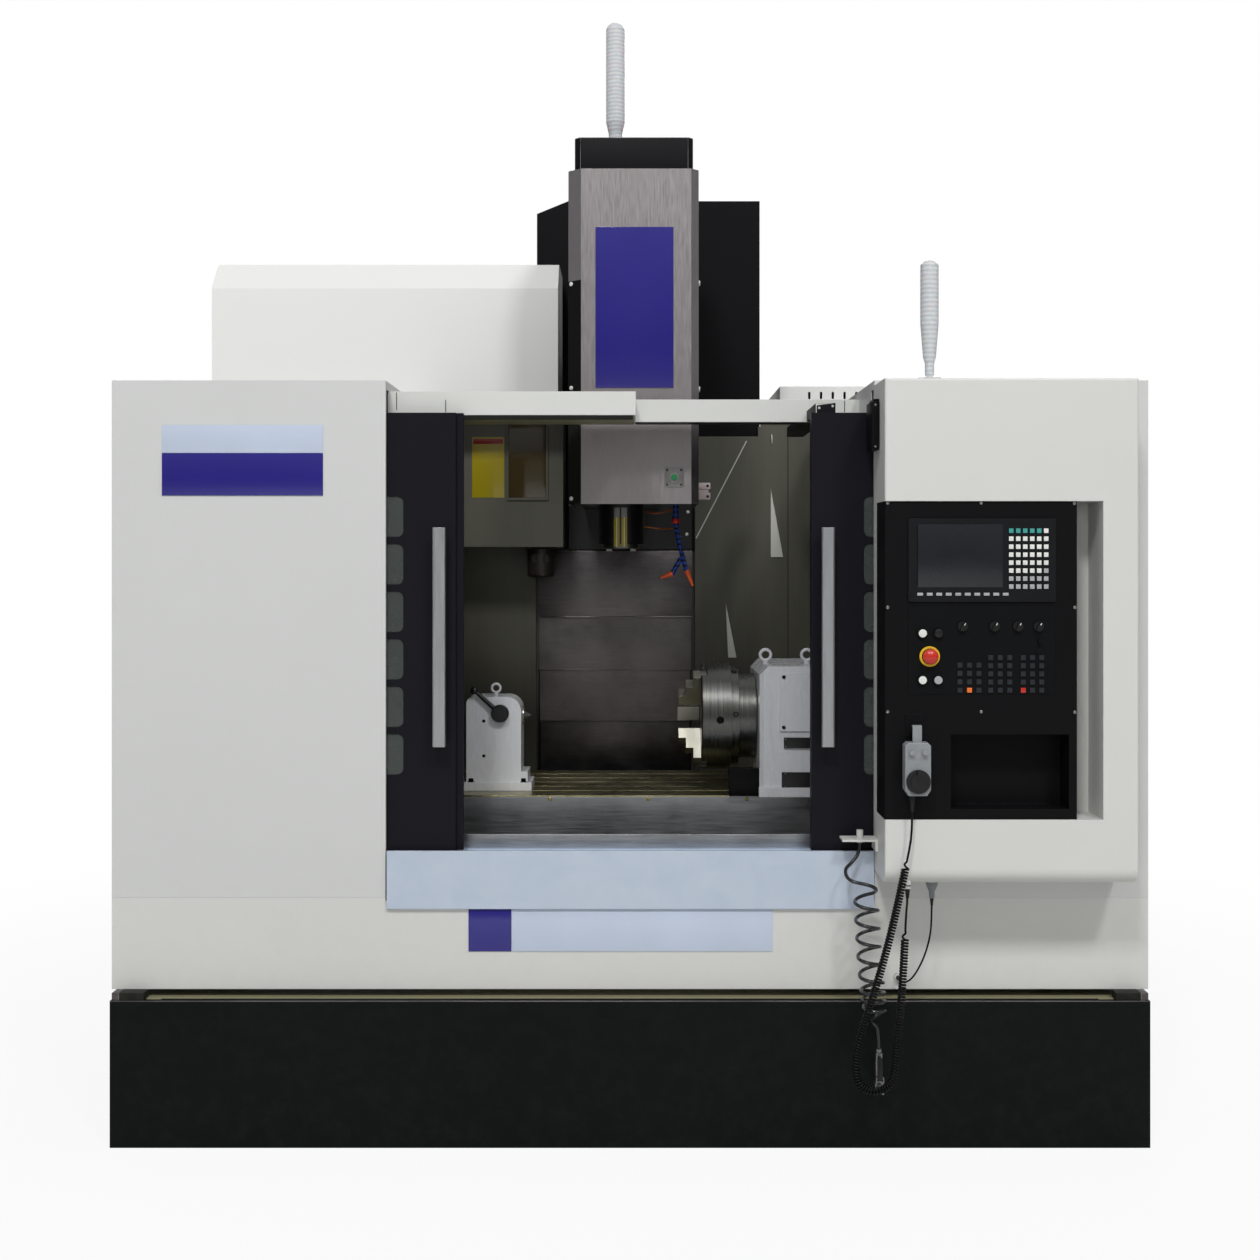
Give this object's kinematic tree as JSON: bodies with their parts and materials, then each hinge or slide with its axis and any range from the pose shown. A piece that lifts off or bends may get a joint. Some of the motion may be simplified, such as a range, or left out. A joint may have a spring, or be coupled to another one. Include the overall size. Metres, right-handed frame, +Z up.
{
  "type": "vertical machining centre",
  "caption": "Vertical machining centre with sliding doors, operator console, T-slot table, tailstock, rotary table with a jaw chuck and a vertical spindle head on a column",
  "frame": {"origin": "on the floor under the middle of the machine's overall box", "axes": "+Z up, +X to the operator's right, +Y from the front into the machine"},
  "size_m": [2.85, 2.6396, 3.29],
  "materials": {
    "pale_paint": "fine texture, semi-gloss",
    "white_paint": "fine texture, semi-gloss",
    "grey_paint": "fine texture, semi-gloss",
    "dark_paint": "satin",
    "black_paint": "satin",
    "guard_paint": "satin",
    "bright_sheet": "brushed",
    "stainless": "brushed",
    "way_steel": "ground, oiled",
    "casting": "painted and ground",
    "table_iron": "ground, oiled",
    "fixture_iron": "gloss enamel",
    "chuck_steel": "ground",
    "ground_steel": "ground",
    "handle_metal": "satin",
    "glass": "clear",
    "display_plastic": "fine texture",
    "plate_plastic": "printed",
    "red_plastic": "gloss",
    "green_plastic": "gloss",
    "black_plastic": "satin",
    "pendant_plastic": "fine texture",
    "lamp_plastic": "gloss",
    "nozzle_plastic": "gloss",
    "pot_plastic": "satin",
    "cord_rubber": "satin",
    "plug_plastic": "satin"
  },
  "bodies": {
    "machine": {"air_hose": "cord_rubber", "air_hose_coil": "cord_rubber", "bed_casting": "casting", "blow_gun": "ground_steel", "column_casting": "casting", "column_cover": "dark_paint", "console_cable": "cord_rubber", "console_housing": "white_paint", "console_lamp": "lamp_plastic", "console_plug": "plug_plastic", "control_plate": "plate_plastic", "coolant_tank": "black_paint", "display_unit": "display_plastic", "electrical_cabinet": "pale_paint", "inner_guards": "guard_paint", "left_cabinet": "pale_paint", "levelling_feet": "ground_steel", "lower_front_panel": "white_paint", "magazine_cover": "white_paint", "operator_box": "dark_paint", "pendant_body": "pendant_plastic", "pendant_cord": "cord_rubber", "pendant_cord_coil": "cord_rubber", "right_cabinet": "pale_paint", "roof_headers": "grey_paint", "sill_panel": "bright_sheet"},
    "left_door": {"left_door": "black_paint", "left_door_windows": "glass", "left_door_handle": "handle_metal"},
    "right_door": {"right_door": "black_paint", "right_door_windows": "glass", "right_door_handle": "handle_metal"},
    "saddle": {"saddle": "casting"},
    "table": {"table": "table_iron", "table_guard": "ground_steel", "tailstock": "fixture_iron", "rotary_housing": "fixture_iron"},
    "quill": {"tailstock_quill": "ground_steel"},
    "quill_lever": {"tailstock_lever": "ground_steel"},
    "chuck": {"rotary_chuck": "chuck_steel"},
    "jaw_1": {"chuck_jaw_1": "chuck_steel"},
    "jaw_2": {"chuck_jaw_2": "chuck_steel"},
    "jaw_3": {"chuck_jaw_3": "chuck_steel"},
    "head": {"head_casting": "casting", "head_cover": "stainless", "coolant_nozzles": "nozzle_plastic", "head_lamp": "lamp_plastic"},
    "spindle": {"spindle": "ground_steel"},
    "clamp_button": {"clamp_button": "green_plastic"},
    "way_cover_2": {"way_cover_2": "way_steel"},
    "way_cover_3": {"way_cover_3": "way_steel"},
    "tool_pot": {"tool_pot": "pot_plastic"},
    "electrical_door": {"electrical_door": "pale_paint"},
    "emergency_stop": {"emergency_stop": "red_plastic"},
    "selector_1": {"selector_1": "black_plastic"},
    "selector_2": {"selector_2": "black_plastic"},
    "selector_3": {"selector_3": "black_plastic"},
    "selector_4": {"selector_4": "black_plastic"},
    "pendant_wheel": {"pendant_wheel": "black_plastic"},
    "gun_trigger": {"blow_gun_trigger": "black_plastic"}
  },
  "joints": [
    {"name": "left_door_slide", "type": "slide", "parent": "machine", "child": "left_door", "axis": [1, 0, 0], "range_m": [0, 0.47]},
    {"name": "right_door_slide", "type": "slide", "parent": "machine", "child": "right_door", "axis": [1, 0, 0], "range_m": [-0.49, 0]},
    {"name": "saddle_slide", "type": "slide", "parent": "machine", "child": "saddle", "axis": [0, 1, 0], "range_m": [-0.205, 0.305]},
    {"name": "table_slide", "type": "slide", "parent": "saddle", "child": "table", "axis": [1, 0, 0], "range_m": [-0.632, 0.468]},
    {"name": "head_slide", "type": "slide", "parent": "machine", "child": "head", "axis": [0, 0, 1], "range_m": [-0.45, 0]},
    {"name": "spindle_spin", "type": "hinge", "parent": "head", "child": "spindle", "pos_m": [-0.028, -0.34, 1.7], "axis": [0, 0, 1], "continuous": true},
    {"name": "clamp_button_push", "type": "slide", "parent": "head", "child": "clamp_button", "axis": [0, 1, 0], "range_m": [0, 0.004], "stiffness_N_per_m": 800},
    {"name": "quill_slide", "type": "slide", "parent": "table", "child": "quill", "axis": [1, 0, 0], "range_m": [0, 0.05]},
    {"name": "quill_lever_turn", "type": "hinge", "parent": "table", "child": "quill_lever", "pos_m": [-0.392, -0.588, 1.137], "axis": [0, -1, 0], "range_deg": [-60, 30]},
    {"name": "chuck_spin", "type": "hinge", "parent": "table", "child": "chuck", "pos_m": [0.3, -0.52, 1.125], "axis": [1, 0, 0], "continuous": true},
    {"name": "jaw_1_slide", "type": "slide", "parent": "chuck", "child": "jaw_1", "axis": [0, 1, 0], "range_m": [-0.006, 0.006]},
    {"name": "jaw_2_slide", "type": "slide", "parent": "chuck", "child": "jaw_2", "axis": [0, -0.5, 0.866], "range_m": [-0.006, 0.006]},
    {"name": "jaw_3_slide", "type": "slide", "parent": "chuck", "child": "jaw_3", "axis": [0, -0.5, -0.866], "range_m": [-0.006, 0.006]},
    {"name": "way_cover_2_slide", "type": "slide", "parent": "machine", "child": "way_cover_2", "axis": [0, 0, 1], "range_m": [-0.301, 0]},
    {"name": "way_cover_3_slide", "type": "slide", "parent": "machine", "child": "way_cover_3", "axis": [0, 0, 1], "range_m": [-0.151, 0]},
    {"name": "tool_pot_swing", "type": "hinge", "parent": "machine", "child": "tool_pot", "pos_m": [-0.305, 0.095, 1.668], "axis": [1, 0, 0], "range_deg": [0, 90]},
    {"name": "electrical_door_hinge", "type": "hinge", "parent": "machine", "child": "electrical_door", "pos_m": [1.409, 1.26, 1.34], "axis": [0, 0, -1], "range_deg": [0, 110]},
    {"name": "emergency_stop_push", "type": "slide", "parent": "machine", "child": "emergency_stop", "axis": [0, 1, 0], "range_m": [0, 0.006]},
    {"name": "selector_1_turn", "type": "hinge", "parent": "machine", "child": "selector_1", "pos_m": [0.876, -1.25, 1.425], "axis": [0, 1, 0], "range_deg": [-60, 60]},
    {"name": "selector_2_turn", "type": "hinge", "parent": "machine", "child": "selector_2", "pos_m": [0.96, -1.25, 1.425], "axis": [0, 1, 0], "range_deg": [-60, 60]},
    {"name": "selector_3_turn", "type": "hinge", "parent": "machine", "child": "selector_3", "pos_m": [1.022, -1.25, 1.425], "axis": [0, 1, 0], "range_deg": [-60, 60]},
    {"name": "selector_4_turn", "type": "hinge", "parent": "machine", "child": "selector_4", "pos_m": [1.076, -1.25, 1.425], "axis": [0, 1, 0], "range_deg": [-60, 60]},
    {"name": "pendant_wheel_turn", "type": "hinge", "parent": "machine", "child": "pendant_wheel", "pos_m": [0.75, -1.301, 1.023], "axis": [0, 1, 0], "continuous": true},
    {"name": "gun_trigger_squeeze", "type": "hinge", "parent": "machine", "child": "gun_trigger", "pos_m": [0.6695, -1.169, 0.208], "axis": [-1, 0, 0], "range_deg": [0, 5], "stiffness_Nm_per_rad": 0.6}
  ],
  "couplings": [
    {"joint": "jaw_2_slide", "follows": "jaw_1_slide", "ratio": 1},
    {"joint": "jaw_3_slide", "follows": "jaw_1_slide", "ratio": 1},
    {"joint": "way_cover_2_slide", "follows": "head_slide", "ratio": 0.6667},
    {"joint": "way_cover_3_slide", "follows": "head_slide", "ratio": 0.3333}
  ]
}
